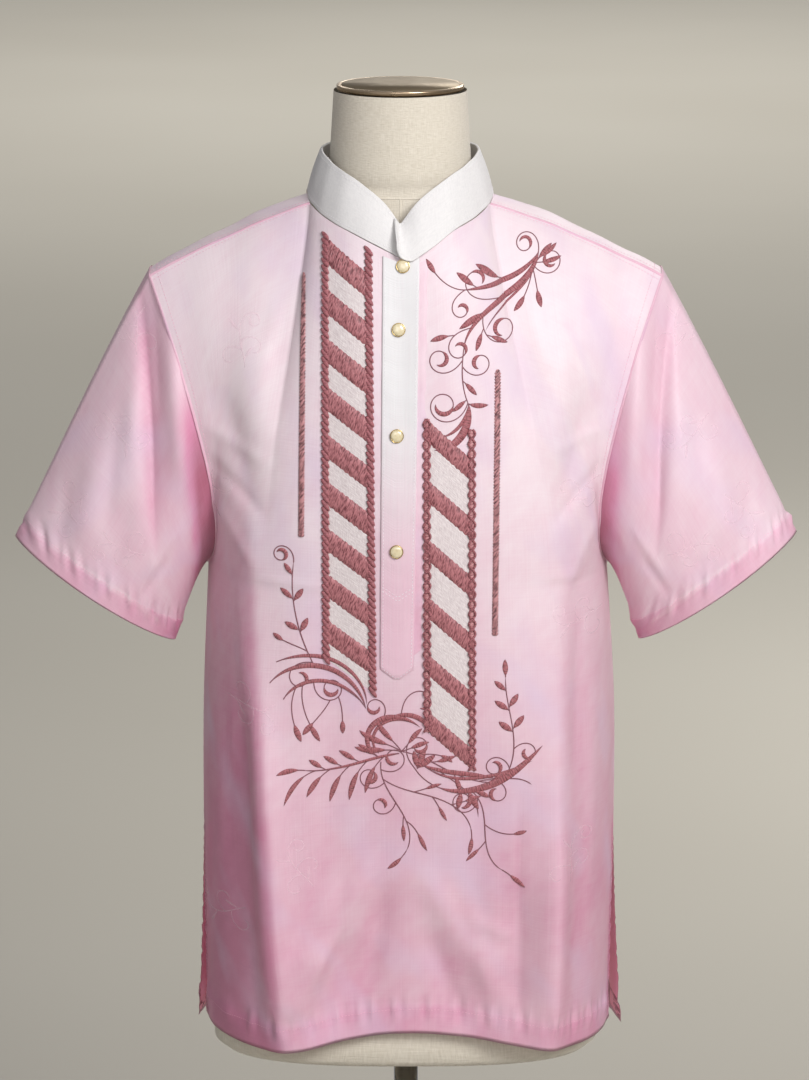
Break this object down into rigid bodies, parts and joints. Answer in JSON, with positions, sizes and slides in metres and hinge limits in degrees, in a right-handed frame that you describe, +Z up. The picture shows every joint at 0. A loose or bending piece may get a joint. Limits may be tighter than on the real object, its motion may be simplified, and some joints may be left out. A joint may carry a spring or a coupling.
{
  "type": "barong tagalog shirt on a dress form",
  "caption": "Short-sleeved sheer pullover dress shirt with a mandarin collar, half placket and raised satin-stitch bands, on a limbless dress form with a stand.",
  "frame": {"origin": "on the floor, under the middle of the stand's base", "axes": "+Z up, -Y the way the shirt's front faces, +X to the right seen from the front"},
  "size_m": [0.7032, 0.33, 1.541],
  "materials": {
    "pink_cloth": "sheer organza-like cloth with a satin sheen",
    "white_cloth": "smooth interfaced white cloth",
    "satin_stitch": "dusty-rose satin stitch thread",
    "pearl": "pearly dome in a gilt rim",
    "linen": "cream linen, stretched",
    "bronze_metal": "satin bronze, polished rim",
    "chromed_steel": "polished chrome"
  },
  "bodies": {
    "root": {"front_panel": "pink_cloth", "back_panel": "pink_cloth", "sleeve_left": "pink_cloth", "sleeve_right": "pink_cloth", "placket": "pink_cloth", "collar": "white_cloth", "lattice_left": "satin_stitch", "lattice_right": "satin_stitch", "bar_left": "satin_stitch", "bar_right": "satin_stitch", "button_1": "pearl", "button_2": "pearl", "button_3": "pearl", "button_4": "pearl", "form_torso": "linen", "form_cap": "bronze_metal", "stand_pole": "chromed_steel", "stand_base": "chromed_steel"}
  },
  "joints": []
}
